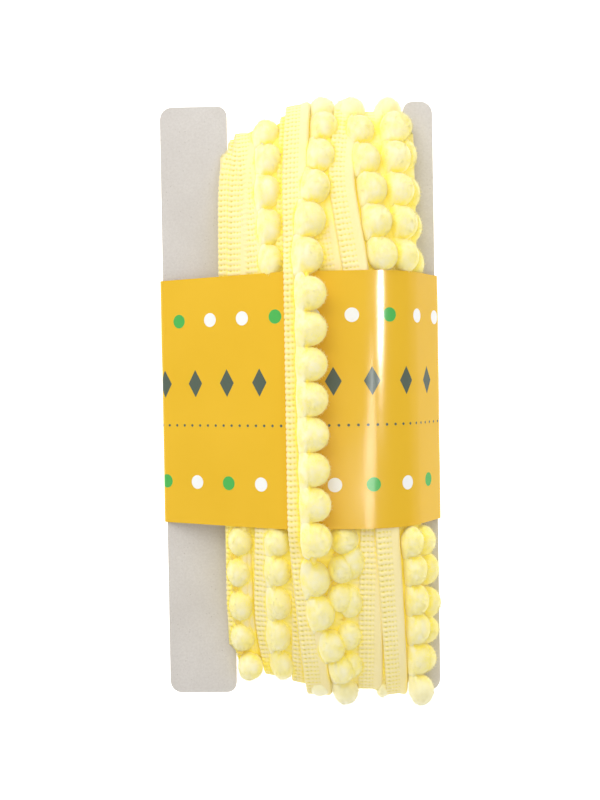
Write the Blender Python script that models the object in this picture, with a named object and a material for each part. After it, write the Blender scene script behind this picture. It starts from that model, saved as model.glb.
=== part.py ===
"""Pompom fringe trim wound lengthwise round a notched card and held by a paper band.

Frame: X across the card, Y along it, Z up. The card is level and the whole lies on its
back, on the flat back panel of the band. Origin at the middle of the base, z = 0.
Sizes are in millimetres here and in metres in the scene, through MM.
"""
import math
import random

import bmesh
import bpy
import numpy as np
from mathutils import Matrix, Vector

MM = 0.001
GAP = 0.35                    # clear space between touching pieces

# ---- card -------------------------------------------------------------------------
CARD_LENGTH = 200.0
CARD_WIDTH = 92.4
CARD_THICKNESS = 1.8
NOTCH_LEFT = -23.5            # the notch that holds the winding, in X
NOTCH_RIGHT = 36.3
NOTCH_DEPTH = 18.0
EAR_RADIUS = 4.0              # outer corners of the ears
MOUTH_RADIUS = 3.0            # corners where the notch opens
CORNER_STEPS = 4

# ---- paper band, a sleeve pulled taut over four round corners and two card edges ----
BAND_HALF = 41.1              # half of its height, along Y
BAND_THICKNESS = 0.5
CREST = 23.6                  # outer face of the band over the card's middle plane
CREST_LEFT = 2.0              # where the slope from the left edge meets the flat crest
CREST_LEFT_RADIUS = 22.0
CREST_RIGHT = 23.0            # where the crest turns down to the right edge
CREST_RIGHT_RADIUS = 16.0
EDGE_RADIUS = 1.75            # the fold of the paper round the card's edge
EDGE_CLEAR = 0.65             # from the card's edge to the inside of that fold
BELT_STEP = math.radians(11)

CARD_Z = CREST                # middle plane of the card over the base

# ---- winding ------------------------------------------------------------------------
FLAT_HALF = 42.0              # each turn runs straight this far from the middle
BULGE_Y = 1.45                # exponents of the rounded shoulder
BULGE_Z = 1.62
SHOULDER_STEPS = 6
ARC_SAMPLES = 120             # steps along a shoulder when pompoms are set out on it
REACH_X = (-23.0, -14.0, -4.0, 1.0, 30.0, 37.0)
REACH_TOP = (90.5, 92.0, 96.0, 98.5, 98.0, 96.5)
REACH_LOW = (91.0, 93.5, 96.5, 99.0, 99.5, 98.0)
CORE_DEPTH = 2.4              # the packed turns under the ones that show
CORE_X = (-25.6, -20.0, -12.0, -3.0, 6.0, 15.0, 23.0, 30.0, 35.0, 39.5)
CORE_NECK_LEFT = -23.1        # the core's sides where it passes through the notches
CORE_NECK_RIGHT = 35.9
NECK_SINE = 0.3               # stations of a lower sine than this lie between the ears
STRIP_NECK_SINE = 0.55        # the strips draw in between them from further off
BACK_SETTLE = 1.0             # the back of the winding lies this much deeper

# ---- braid and pompoms --------------------------------------------------------------
BRAID_LEFT = 3.35             # from the line that a turn's X gives to its free edge
BRAID_RIGHT = 4.75            # and to the edge that the pompoms hang from
BRAID_DEEP = 3.2              # how far a strip is sunk into the packed turns
BRAID_THICKNESS = 1.2
BRAID_BACK_DEPTH = 1.2        # no turn lies deeper than this behind
NECK_INSET = 0.3              # a strip keeps inside the core between the ears
NECK_INSET_BY_DEPTH = 0.15
POMPOM_RADIUS = 5.2           # to the corners of its few sides
POMPOM_SPREAD = 0.96          # the smallest ball over the largest
POMPOM_TILT = 0.08            # radians either way
POMPOM_SQUASH = 0.9           # how flat it lies on what is under it
POMPOM_PITCH = 10.4
POMPOM_SIDES = 7
POMPOM_RINGS = 4
POMPOM_CROWD = 5.8            # a pompom closer than this to a later one lies hidden
POMPOM_COVER = 4.55           # and closer than this to the middle of a later braid
EAR_LIFT_LIMIT = 98.5         # nearer the middle than this a pompom can lie on an ear
EAR_CLEAR = 0.45              # from an ear's face to a pompom on it
BACK_HANG = 6.2               # pompoms behind: beside the braid, depth, first one's place
BACK_SINK = 4.4
BACK_FIRST = 48.5
SEED = 11

# Front runs in winding order, each lying over the ones before it: the braid's line in X at
# the top end, over and under the band and at the lower end; how deep the braid lies;
# for the upper and the lower half, where its pompoms sit: beside the braid's line,
# how deep, and how far from the middle the first one is.
TURNS = [
    dict(x=(30.0, 34.7, 38.0, 31.5), depth=2.6, hang=(2.5, 2.5), sink=(9.0, 9.0), first=(46.9, 47.3)),
    dict(x=(25.0, 29.6, 36.6, 31.5), depth=3.0, hang=(5.6, 4.8), sink=(1.4, 1.6), first=(46.9, 47.3)),
    dict(x=(14.0, 12.0, 10.8, 11.0), depth=4.0, hang=(6.0, 6.0), sink=(5.6, 5.6), first=(47.0, 51.5)),
    dict(x=(3.0, 4.5, 6.9, 7.5), depth=4.0, hang=(6.0, 5.9), sink=(5.6, 5.4), first=(47.0, 46.8)),
    dict(x=(-19.6, -23.3, -21.5, -17.5), depth=2.0, hang=(5.6, 5.6), sink=(4.5, 4.5), first=(47.0, 47.0)),
    dict(x=(-18.6, -20.1, -23.6, -19.6), depth=0.8, hang=(5.8, 4.0), sink=(4.5, 1.6), first=(47.0, 47.2)),
    dict(x=(-15.6, -14.2, -13.9, -13.3), depth=0.4, hang=(6.4, 6.0), sink=(3.2, 3.2), first=(50.3, 46.6)),
    dict(x=(-2.8, -3.0, 0.6, 1.0), depth=2.2, hang=(6.0, 6.0), sink=(5.0, 5.0), first=(47.0, 47.0)),
    dict(x=(11.5, 10.4, 22.0, 22.0), depth=2.0, hang=(6.0, 6.0), sink=(5.0, 5.0), first=(47.0, 47.0)),
    dict(x=(13.2, 18.6, 29.9, 29.2), depth=0.4, hang=(7.4, 8.2), sink=(2.6, -2.4), first=(47.6, 46.9)),
]
TURN_ENDS = (-98.0, -84.0, -42.0, 42.0, 84.0, 98.0)   # in Y, where a front run bends
TURN_BEND = 0.6               # how much of its sideways drift is left at the second place
BACK_END = 95.0               # in Y, where the runs behind start and end
# The last turn comes over the top end, runs down over the band and ends under it behind.
LAST = dict(x=(0.5, -0.3, -1.6, 4.7), depth=-0.3, hang=(6.2, 7.4), sink=(1.0, 1.0), first=(47.0, 54.5))
LAST_BEHIND = (10.0, 6.0)     # its X behind, where it leaves the band above and below
LAST_TUCK = 30.0              # both ends reach this close to the middle, under the band
LAST_BACK_DEPTH = 0.3
LAST_BACK_FIRST = 50.0
LAST_ON_BAND = dict(first=33.6, pitch=11.0, count=8, hang=5.2)
LAST_SAG = 0.4                # a straight strip dips this much into the band's curve
LAST_LIFT = GAP + BAND_THICKNESS + GAP + LAST_SAG + BRAID_THICKNESS
LAST_STEP_DOWN = math.radians(84)   # where it starts down from the band's edge
SMOOTH_ANGLE = math.radians(50)


def clear_scene():
    for item in list(bpy.data.objects):
        bpy.data.objects.remove(item, do_unlink=True)


def material(name, colour, roughness):
    made = bpy.data.materials.new(name)
    made.use_nodes = True
    shader = made.node_tree.nodes["Principled BSDF"]
    shader.inputs["Base Color"].default_value = (*colour, 1.0)
    shader.inputs["Roughness"].default_value = roughness
    shader.inputs["Metallic"].default_value = 0.0
    return made


def add_object(name, bm, finish):
    """Links a bmesh, drawn in millimetres, as a named object in metres."""
    bmesh.ops.scale(bm, vec=(MM, MM, MM), verts=bm.verts)
    bmesh.ops.triangulate(bm, faces=[face for face in bm.faces if len(face.verts) > 3])
    bmesh.ops.recalc_face_normals(bm, faces=bm.faces)
    mesh = bpy.data.meshes.new(name)
    bm.to_mesh(mesh)
    bm.free()
    mesh.materials.append(finish)
    placed = bpy.data.objects.new(name, mesh)
    bpy.context.collection.objects.link(placed)
    return placed


# ---- the band's section ---------------------------------------------------------------
def belt(circles, grow):
    """Outline in X and Z of a belt round circles (x, z, radius), clockwise from +Z."""
    points = []
    count = len(circles)
    headings = []
    for index in range(count):
        ax, az, ar = circles[index]
        bx, bz, br = circles[(index + 1) % count]
        span = math.hypot(bx - ax, bz - az)
        headings.append(math.atan2(bz - az, bx - ax) + math.pi / 2 - math.asin((ar - br) / span))
    for index in range(count):
        x, z, radius = circles[index]
        start = headings[index - 1]
        turn = (start - headings[index]) % (2 * math.pi)
        steps = max(1, math.ceil(turn / BELT_STEP))
        for step in range(steps + 1):
            angle = start - turn * step / steps
            points.append((x + (radius + grow) * math.cos(angle), z + (radius + grow) * math.sin(angle)))
    return points


def band_circles():
    """Centres of the corners under the paper, with the paper's inner radii."""
    inner = CREST - BAND_THICKNESS
    left = CREST_LEFT_RADIUS - BAND_THICKNESS
    right = CREST_RIGHT_RADIUS - BAND_THICKNESS
    edge = CARD_WIDTH / 2 + EDGE_CLEAR - EDGE_RADIUS
    return [
        (-edge, 0.0, EDGE_RADIUS),
        (CREST_LEFT, inner - left, left),
        (CREST_RIGHT, inner - right, right),
        (edge, 0.0, EDGE_RADIUS),
        (CREST_RIGHT, right - inner, right),
        (CREST_LEFT, left - inner, left),
    ]


def crest_line():
    """Heights of the band's inner face over the card, as arrays of X and Z."""
    front = [point for point in belt(band_circles(), 0.0) if point[1] > 0.0]
    front.sort()
    return np.array(front).T


CREST_X, CREST_Z = crest_line()


# ---- the wound surface ----------------------------------------------------------------
def rise_at(x, face):
    """Height over the card's plane of the winding's outer surface in its straight part."""
    settle = BACK_SETTLE if face < 0 else 0.0
    return float(np.interp(x, CREST_X, CREST_Z)) - GAP - settle


def reach_at(x, end):
    return float(np.interp(x, REACH_X, REACH_TOP if end > 0 else REACH_LOW))


def wound_point(x, end, face, angle, depth):
    """A point depth below the winding's surface; angle is 0 at the end, 90 on the flat."""
    along = math.cos(angle) ** (2 / BULGE_Y)
    up = math.sin(angle) ** (2 / BULGE_Z)
    y = FLAT_HALF + (reach_at(x, end) - depth - FLAT_HALF) * along
    z = (rise_at(x, face) - depth) * up
    return Vector((x, end * y, CARD_Z + face * z))


def shoulder_angles():
    return [math.pi / 2 * step / SHOULDER_STEPS for step in range(SHOULDER_STEPS + 1)]


def loop_stations():
    """Stations (end, face, angle) once round: down the front and up the back."""
    out = shoulder_angles()
    front = [(1, 1, angle) for angle in out] + [(-1, 1, angle) for angle in reversed(out)]
    back = [(-1, -1, angle) for angle in out[1:]] + [(1, -1, angle) for angle in reversed(out[1:])]
    return front + back


def run_x(turn, y, face, onward):
    """Braid centre in X at a place along a turn; onward is the next turn's top place."""
    top, upper, lower, bottom = turn["x"]
    if face < 0:
        return float(np.interp(y, (-BACK_END, BACK_END), (bottom, onward)))
    near_low = bottom + (lower - bottom) * TURN_BEND
    near_top = top + (upper - top) * TURN_BEND
    return float(np.interp(y, TURN_ENDS, (bottom, near_low, lower, upper, near_top, top)))


def last_x(y, face):
    """Braid centre in X of the last turn; behind, it ends under the band on both sides."""
    if face > 0:
        return run_x(LAST, y, face, 0.0)
    half = 0 if y > 0 else 1
    return float(np.interp(abs(y), (FLAT_HALF, TURN_ENDS[-1]), (LAST_BEHIND[half], LAST["x"][half * 3])))


def slope_cosine(x):
    step = 1.0
    fall = (rise_at(x + step, 1) - rise_at(x - step, 1)) / (2 * step)
    return 1.0 / math.hypot(1.0, fall)


def strip_ring(x, end, face, angle, depth):
    """Four corners of a braid strip's section, its outer side first."""
    left = BRAID_LEFT * slope_cosine(x)
    right = BRAID_RIGHT * slope_cosine(x)
    if math.sin(angle) < STRIP_NECK_SINE:
        inset = NECK_INSET + depth * NECK_INSET_BY_DEPTH
        x = min(max(x, CORE_NECK_LEFT + left + inset), CORE_NECK_RIGHT - right - inset)
    return [
        wound_point(x - left, end, face, angle, depth),
        wound_point(x + right, end, face, angle, depth),
        wound_point(x + right, end, face, angle, depth + BRAID_DEEP),
        wound_point(x - left, end, face, angle, depth + BRAID_DEEP),
    ]


def skin(bm, rings, closed):
    """Joins rings of points into a tube, with flat ends where it isn't closed."""
    made = [[bm.verts.new(point) for point in ring] for ring in rings]
    pairs = list(zip(made, made[1:]))
    if closed:
        pairs.append((made[-1], made[0]))
    for ring, after in pairs:
        for index in range(len(ring)):
            other = (index + 1) % len(ring)
            bm.faces.new((ring[index], ring[other], after[other], after[index]))
    if not closed:
        bm.faces.new(made[0])
        bm.faces.new(made[-1])


def core(bm):
    """The packed turns: a ring round the card's waist, with a slot that the card fills."""
    stations = loop_stations()
    slot_half = CARD_LENGTH / 2 - NOTCH_DEPTH + GAP
    slot_rise = CARD_THICKNESS / 2 + GAP
    rings = []
    for end, face, angle in stations:
        neck = math.sin(angle) < NECK_SINE
        across = list(CORE_X)
        if neck:
            across[0] = CORE_NECK_LEFT
            across[-1] = CORE_NECK_RIGHT
        outer = [wound_point(x, end, face, angle, CORE_DEPTH) for x in across]
        inner_y = slot_half if neck else slot_half + (FLAT_HALF - slot_half) * math.sin(angle)
        inner_z = slot_rise * (0.0 if angle == 0.0 else 1.0)
        inner = [Vector((x, end * inner_y, CARD_Z + face * inner_z)) for x in (across[-1], across[0])]
        rings.append(outer + inner)
    skin(bm, rings, closed=True)


def braid_strips(bm):
    """Every turn that shows, as a strip standing up from the packed turns."""
    following = TURNS[1:] + [LAST]
    for turn, onward in zip(TURNS, following):
        rings = []
        for end, face, angle in loop_stations():
            y = wound_point(0.0, end, face, angle, 0.0).y
            x = run_x(turn, y, face, onward["x"][0])
            depth = turn["depth"] if face > 0 else min(turn["depth"], BRAID_BACK_DEPTH)
            rings.append(strip_ring(x, end, face, angle, depth))
        skin(bm, rings, closed=False)


def last_turn_strip(bm):
    """The last turn: from under the band behind, over it in front and back under it."""
    rings = []
    angles = shoulder_angles()
    angles.insert(-1, LAST_STEP_DOWN)
    over_top = [(1, -1, angle) for angle in reversed(angles)] + [(1, 1, angle) for angle in angles[1:]]
    over_low = [(-1, 1, angle) for angle in reversed(angles)] + [(-1, -1, angle) for angle in angles[1:]]
    for end, face, angle in over_top + over_low:
        x = last_x(wound_point(0.0, end, face, angle, 0.0).y, face)
        on_band = face > 0 and angle >= LAST_STEP_DOWN
        depth = LAST["depth"] if face > 0 else LAST_BACK_DEPTH
        deep = BRAID_DEEP
        if on_band:
            depth = -LAST_LIFT
            deep = BRAID_THICKNESS
        left = x - BRAID_LEFT
        right = x + BRAID_RIGHT
        rings.append([
            wound_point(left, end, face, angle, depth),
            wound_point(right, end, face, angle, depth),
            wound_point(right, end, face, angle, depth + deep),
            wound_point(left, end, face, angle, depth + deep),
        ])
    tucked_ends = [rings[0], rings[-1]]
    tucks = []
    for ring, end in zip(tucked_ends, (1, -1)):
        tucks.append([Vector((point.x, end * LAST_TUCK, point.z)) for point in ring])
    skin(bm, [tucks[0]] + rings + [tucks[1]], closed=False)


# ---- pompoms ----------------------------------------------------------------------------
def half_arc(x, end, face, sink, first):
    """Places pitch by pitch from the band's edge round to the end of the card."""
    angles = [math.pi / 2 * (1 - step / ARC_SAMPLES) for step in range(ARC_SAMPLES + 1)]
    path = [wound_point(x, end, face, angle, sink) for angle in angles]
    places = []
    travelled = 0.0
    for before, after in zip(path, path[1:]):
        travelled += (after - before).length
        if FLAT_HALF + travelled >= first + POMPOM_PITCH * len(places):
            places.append(after)
    return places


def clear_of_ears(centre, face):
    """Lifts a pompom that would touch an ear, or moves it in between them at the ends."""
    lowest = CARD_THICKNESS / 2 + EAR_CLEAR + POMPOM_RADIUS * POMPOM_SQUASH
    inside = min(max(centre.x, CORE_NECK_LEFT + POMPOM_RADIUS), CORE_NECK_RIGHT - POMPOM_RADIUS)
    if abs(centre.z - CARD_Z) >= lowest or inside == centre.x:
        return centre
    if abs(centre.y) < EAR_LIFT_LIMIT:
        return Vector((centre.x, centre.y, CARD_Z + face * lowest))
    return Vector((inside, centre.y, centre.z))


def turn_pompoms(turn, onward):
    """Centres of one turn's pompoms outside the band, in front and behind."""
    centres = []
    for face in (1, -1):
        for half, end in enumerate((1, -1)):
            hang = turn["hang"][half] if face > 0 else BACK_HANG
            sink = turn["sink"][half] if face > 0 else BACK_SINK
            first = turn["first"][half] if face > 0 else BACK_FIRST
            middle = run_x(turn, end * (FLAT_HALF + BACK_END) / 2, face, onward["x"][0]) + hang
            for place in half_arc(middle, end, face, sink, first):
                x = run_x(turn, place.y, face, onward["x"][0]) + hang
                centres.append(clear_of_ears(Vector((x, place.y, place.z)), face))
    return centres


def last_pompoms():
    """Centres of the last turn's pompoms: over the band, then round both ends."""
    height = CARD_Z + CREST + GAP + POMPOM_RADIUS * POMPOM_SQUASH
    centres = []
    for index in range(LAST_ON_BAND["count"]):
        y = LAST_ON_BAND["first"] - LAST_ON_BAND["pitch"] * index
        centres.append(Vector((last_x(y, 1) + LAST_ON_BAND["hang"], y, height)))
    for face in (1, -1):
        for half, end in enumerate((1, -1)):
            hang = LAST["hang"][half]
            sink = LAST["sink"][half] if face > 0 else BACK_SINK
            first = LAST["first"][half] if face > 0 else LAST_BACK_FIRST
            for place in half_arc(LAST["x"][0] + hang, end, face, sink, first):
                centres.append(Vector((last_x(place.y, face) + hang, place.y, place.z)))
    return centres


def covered(centre, owner):
    """True where a later turn's braid passes over a pompom and hides it."""
    face = 1 if centre.z > CARD_Z else -1
    following = TURNS[1:] + [LAST]
    over = [last_x(centre.y, face)]
    for later in range(owner + 1, len(TURNS)):
        over.append(run_x(TURNS[later], centre.y, face, following[later]["x"][0]))
    return any(abs(x - centre.x) < POMPOM_COVER for x in over)


def visible_pompoms():
    following = TURNS[1:] + [LAST]
    owned = []
    for owner, turn in enumerate(TURNS):
        for centre in turn_pompoms(turn, following[owner]):
            if not covered(centre, owner):
                owned.append(centre)
    owned += last_pompoms()
    kept = []
    for centre in reversed(owned):
        if all((centre - other).length > POMPOM_CROWD for other in kept):
            kept.append(centre)
    return kept


def pompoms(bm):
    """Low balls with poles in X and a corner turned towards the card."""
    chance = random.Random(SEED)
    for centre in visible_pompoms():
        face = 1 if centre.z > CARD_Z else -1
        radius = POMPOM_RADIUS * chance.uniform(POMPOM_SPREAD, 1.0)
        tilt = chance.uniform(-POMPOM_TILT, POMPOM_TILT)
        leaning = Matrix.Rotation(math.pi / 2 + tilt, 4, "Y")
        facing = Matrix.Rotation(0.0 if face > 0 else math.pi, 4, "Z")
        squashed = Matrix.Diagonal((1.0, 1.0, POMPOM_SQUASH, 1.0))
        place = Matrix.Translation(centre) @ squashed @ leaning @ facing
        bmesh.ops.create_uvsphere(
            bm, u_segments=POMPOM_SIDES, v_segments=POMPOM_RINGS, radius=radius, matrix=place
        )


# ---- the pieces -------------------------------------------------------------------------
def outer_shell(bm):
    """Deletes what lies sealed inside the fused shape, keeping its widest shell."""
    waiting = set(bm.verts)
    shells = []
    while waiting:
        seed = waiting.pop()
        shell = {seed}
        front = [seed]
        while front:
            for edge in front.pop().link_edges:
                for vert in edge.verts:
                    if vert not in shell:
                        shell.add(vert)
                        front.append(vert)
        waiting -= shell
        shells.append(shell)
    shells.sort(key=lambda shell: max(v.co.y for v in shell) - min(v.co.y for v in shell))
    for shell in shells[:-1]:
        bmesh.ops.delete(bm, geom=list(shell), context="VERTS")


def build_trim(finish):
    """The whole length of trim, fused where its turns and pompoms lie on each other."""
    packed = bmesh.new()
    core(packed)
    body = add_object("trim", packed, finish)
    raised = bmesh.new()
    braid_strips(raised)
    last_turn_strip(raised)
    pompoms(raised)
    outside = add_object("raised_turns", raised, finish)
    union = body.modifiers.new("fuse", "BOOLEAN")
    union.operation = "UNION"
    union.solver = "EXACT"
    union.use_self = True
    union.object = outside
    bpy.context.view_layer.update()
    fused = bpy.data.meshes.new_from_object(body.evaluated_get(bpy.context.evaluated_depsgraph_get()))
    body.modifiers.remove(union)
    bpy.data.objects.remove(outside, do_unlink=True)
    bm = bmesh.new()
    bm.from_mesh(fused)
    bmesh.ops.triangulate(bm, faces=bm.faces)
    outer_shell(bm)
    bm.to_mesh(body.data)
    bm.free()
    bpy.data.meshes.remove(fused)
    body.data.shade_smooth()
    body.data.set_sharp_from_angle(angle=SMOOTH_ANGLE)
    return body


def build_band(finish):
    """The sleeve: one belt outline outside another, run along Y and joined at the rims."""
    circles = band_circles()
    outer = belt(circles, BAND_THICKNESS)
    inner = belt(circles, 0.0)
    bm = bmesh.new()
    rims = []
    for outline, y in ((outer, -BAND_HALF), (outer, BAND_HALF), (inner, BAND_HALF), (inner, -BAND_HALF)):
        rims.append([bm.verts.new((x, y, CARD_Z + z)) for x, z in outline])
    for rim, after in zip(rims, rims[1:] + rims[:1]):
        for index in range(len(rim)):
            other = (index + 1) % len(rim)
            bm.faces.new((rim[index], rim[other], after[other], after[index]))
    made = add_object("band", bm, finish)
    made.data.shade_smooth()
    made.data.set_sharp_from_angle(angle=SMOOTH_ANGLE)
    return made


def rounded_outline(corners):
    """Corners (x, y, radius) in order, each rounded by an arc that touches both sides."""
    points = []
    count = len(corners)
    for index in range(count):
        x, y, radius = corners[index]
        here = Vector((x, y))
        back = (Vector(corners[index - 1][:2]) - here).normalized()
        ahead = (Vector(corners[(index + 1) % count][:2]) - here).normalized()
        if radius == 0.0:
            points.append(here)
            continue
        centre = here + (back + ahead) * radius
        for step in range(CORNER_STEPS + 1):
            angle = math.pi / 2 * step / CORNER_STEPS
            points.append(centre - ahead * radius * math.cos(angle) - back * radius * math.sin(angle))
    return points


def build_card(finish):
    """The card: a plate with a notch in each short side that keeps the winding in place."""
    half_x = CARD_WIDTH / 2
    half_y = CARD_LENGTH / 2
    floor_y = half_y - NOTCH_DEPTH
    upper = [
        (-half_x, half_y, EAR_RADIUS),
        (NOTCH_LEFT, half_y, MOUTH_RADIUS),
        (NOTCH_LEFT, floor_y, 0.0),
        (NOTCH_RIGHT, floor_y, 0.0),
        (NOTCH_RIGHT, half_y, MOUTH_RADIUS),
        (half_x, half_y, EAR_RADIUS),
    ]
    lower = [(x, -y, radius) for x, y, radius in reversed(upper)]
    bm = bmesh.new()
    bottom = CARD_Z - CARD_THICKNESS / 2
    plate = bm.faces.new([bm.verts.new((x, y, bottom)) for x, y in rounded_outline(upper + lower)])
    raised = bmesh.ops.extrude_face_region(bm, geom=[plate])
    top = [item for item in raised["geom"] if isinstance(item, bmesh.types.BMVert)]
    bmesh.ops.translate(bm, verts=top, vec=(0.0, 0.0, CARD_THICKNESS))
    return add_object("card", bm, finish)


def main():
    clear_scene()
    build_card(material("greyboard", (0.60, 0.55, 0.50), 0.95))
    build_trim(material("yellow_yarn", (0.96, 0.86, 0.40), 0.9))
    build_band(material("orange_paper", (0.92, 0.56, 0.06), 0.35))


main()
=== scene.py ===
"""Looks of the pompom fringe trim wound on its card: knitted braid, felted pompoms,
speckled greyboard and the satin paper band.

Frame: X across the card, Y along it, Z up out of the front, in metres in the scene and
in millimetres in this script, through MM.
"""

import math
from collections import namedtuple

import bmesh
import bpy
import numpy as np
from mathutils import Euler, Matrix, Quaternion, Vector


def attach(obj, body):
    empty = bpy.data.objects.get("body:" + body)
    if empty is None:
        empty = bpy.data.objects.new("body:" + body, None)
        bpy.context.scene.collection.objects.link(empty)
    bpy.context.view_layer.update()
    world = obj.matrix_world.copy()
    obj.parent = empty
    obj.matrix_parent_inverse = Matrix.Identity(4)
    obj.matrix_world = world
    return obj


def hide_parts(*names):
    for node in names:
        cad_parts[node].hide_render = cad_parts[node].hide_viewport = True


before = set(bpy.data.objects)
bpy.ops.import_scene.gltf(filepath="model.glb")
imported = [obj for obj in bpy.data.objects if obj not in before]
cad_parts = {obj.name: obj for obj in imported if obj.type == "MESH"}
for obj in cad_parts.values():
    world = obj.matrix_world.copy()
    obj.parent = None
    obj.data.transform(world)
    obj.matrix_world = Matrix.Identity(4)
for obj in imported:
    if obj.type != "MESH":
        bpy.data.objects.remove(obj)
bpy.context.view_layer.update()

MM = 0.001
SEED = 23

# ---- the card and the band's section ----
CARD_WIDTH = 92.4
CARD_HALF_LENGTH = 100.0
CARD_THICKNESS = 1.8
NOTCH_DEPTH = 18.0
GAP = 0.35  # between pieces that touch
BAND_HALF = 41.1
BAND_SPACE = 0.5  # room that the band takes over the winding
PAPER_THICKNESS = 0.22
PAPER_CLEAR = 0.12  # how far its outside stays inside that room, before it ripples
PAPER_SPACING = 1.1  # from one column of its vertices to the next
PAPER_ROWS = 34
RIPPLE_LIMIT = (-0.14, 0.11)
UV_UNIT = 100.0  # millimetres to one unit of the band's flat map
CREST = 23.6  # from the card's middle to the outside of the band
CREST_LEFT = 2.0  # X of the rounding's middle at each side of the crest
CREST_LEFT_RADIUS = 22.0
CREST_RIGHT = 20.6
CREST_RIGHT_RADIUS = 22.4
EDGE_RADIUS = 1.75  # of the paper's turn round the card's edge
EDGE_CLEAR = 0.65
BELT_STEP = math.radians(1.5)
CARD_Z = CREST  # the band's flat back lies at Z = 0

# ---- the winding ----
FLAT_HALF = 42.0
BULGE_Y = 1.45  # how square the shoulders are; 2 is an ellipse
BULGE_Z = 1.62
BACK_SETTLE = 1.0  # how much flatter the winding is behind
# How far the winding reaches from the middle to the top and the low end, at places in X.
REACH_X = (-23.0, -14.0, -4.0, 1.0, 30.0, 37.0)
REACH_TOP = (90.5, 92.0, 97.6, 100.2, 99.8, 97.6)
REACH_LOW = (91.0, 93.5, 97.3, 100.6, 102.0, 99.5)
REACH_TILT = 0.3  # how much of the ends' slant shows inside one braid
CORE_DEPTH = 2.7
CORE_LEFT = -25.6
CORE_RIGHT = 39.5
CORE_COLUMNS = 34
CORE_ROWS = (150, 26, 150)  # from end to shoulder, along the flat, and on to the other end
CORE_MIDDLE = 5.0  # X at which the rows are measured off
CORE_RIB = 0.4
CORE_EASE = 0.1  # the stretch of end_sine over which its sides draw in
NECK_LEFT = -23.1  # the winding's sides between the ears
NECK_RIGHT = 35.9
NECK_CLEAR = 0.2
NECK_SINE = 0.3  # the end_sine below which the turns are drawn in between the ears
BRAID_NECK_SINE = 0.55
BRAID_NECK_EASE = 0.25
LAP = 6.0  # once round: shoulder, flat, shoulder, and again behind
UNDER_BAND = 0.07  # how far the turns run in under the band, in laps
UNSEEN_HALF = BAND_HALF - 2.0  # in Y, where the band hides the turns
FRONT_EASE = 0.15  # how far the front's depth runs on behind, in laps
TURN_SAMPLES = 700
LAST_SAMPLES = 1700
PATH_SAMPLES = 1200
# Widths of the running means, in samples.
EDGE_BLUR = 61
LINE_BLUR = 31
DRIFT_BLUR = 41
STEP_BLUR = 25

# ---- the knitted braid ----
BRAID_LINE = 3.35  # from the free edge to the line that a turn follows
BRAID_WIDTH = 8.4
BRAID_THICKNESS = 1.7
ROW = 1.83  # from one knitted row to the next
FINE_STEP = ROW / 6
COARSE_STEP = ROW / 3.5
HIDDEN_STEP = 2.5
SMOOTH_EDGE = 5.3  # where the stitches end and the smooth selvedge starts
STITCH_COLUMNS = 19
SELVEDGE_COLUMNS = 7
UNDER_COLUMNS = 4
# Columns of holes: how far from the free edge, how wide, and how deep.
HOLE_COLUMNS = ((1.15, 0.32, 1.0), (2.5, 0.2, 0.8), (3.75, 0.2, 0.75), (4.95, 0.2, 0.75))

# ---- the turns that show, in winding order ----
# Where each braid's free edge lies in X, in its upper half at the end, the shoulder and
# the band, and in its lower half at the band, the shoulder and the end. Then how deep it
# lies in front and behind. TURN_Y is where the end, the shoulder and the band are in Y.
TURN_Y = (98.0, 72.0, 42.0)
LOW_Y = tuple(-y for y in TURN_Y)
ENDS_Y = (LOW_Y[0], TURN_Y[0])
Turn = namedtuple("Turn", "upper lower depth behind")
TURNS = [
    Turn((26.6, 28.5, 31.3), (33.4, 31.5, 28.0), 2.8, 2.0),  # i
    Turn((21.6, 22.8, 26.2), (32.0, 31.5, 28.5), 2.6, 1.8),  # h
    Turn((10.6, 10.0, 8.6), (7.6, 7.0, 7.2), 3.0, 1.6),  # k
    Turn((-0.3, 0.4, 1.1), (3.5, 4.0, 4.1), 3.2, 1.6),  # j
    Turn((-24.4, -26.7, -26.9), (-24.9, -24.0, -21.5), 2.0, 1.4),  # a
    Turn((-20.0, -22.9, -23.5), (-25.8, -26.2, -23.5), 0.9, 1.2),  # b
    Turn((-21.3, -19.5, -17.2), (-15.6, -16.7, -13.2), 0.3, 1.0),  # c
    Turn((-5.0, -6.3, -7.2), (-3.2, -3.6, -4.4), 2.0, 1.1),  # d
    Turn((4.5, 3.2, 7.3), (19.2, 18.2, 18.1), 2.0, 0.9),  # f
    Turn((13.3, 10.4, 15.0), (23.9, 25.7, 27.4), 0.4, 0.6),  # g
]
LAST = Turn((-3.1, -4.3, -4.05), (-4.1, -1.6, 1.0), -0.4, 0.2)
LAST_BEHIND = (6.6, 2.6)  # its free edge behind, above and below the band
LAST_PHASE = 0.4  # where its first row starts
ON_BAND_DEPTH = -2.75
STEP_OFF_BAND = (41.0, 49.0)  # in Y, where the last turn comes down from the band

# ---- pompoms ----
POMPOM_RADIUS = 5.15
POMPOM_FLATNESS = 0.9  # their height over their width
POMPOM_REACH = (3.0, 7.8)  # least and most from the middle to the skin
SKIN_STEPS = 8  # steps to the skin, each by SKIN_SHARE of the way that is left
SKIN_SHARE = 0.8
BLEND = 4.0  # how sharply one pompom runs into the next
ROLL_BLEND = (0.9, 5.0)  # the same where a roll joins them, at two places in X
ROLL_BLEND_X = (-2.2, 0.0)
BLEND_LIMIT = (-3.0, 8.0)
PITCH = 11.2
LEFT_SHARE = 0.78  # how far a pompom reaches towards the braid, over its radius
ROLL_X = -3.3  # the roll of yarn that joins the pompoms, from their middles
ROLL_Z = -0.3
ROLL_RADIUS = 1.8
ROLL_STRETCH = 1.15  # its width over its height
TIE_SIZE = (1.1, 1.3, 0.7)  # half sizes of the tuft where two pompoms are tied
TIE_ASIDE = (-1.9, -1.1)
TIE_HEIGHT = (0.2, 0.9)
TIE_HAIRS = 60
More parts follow.
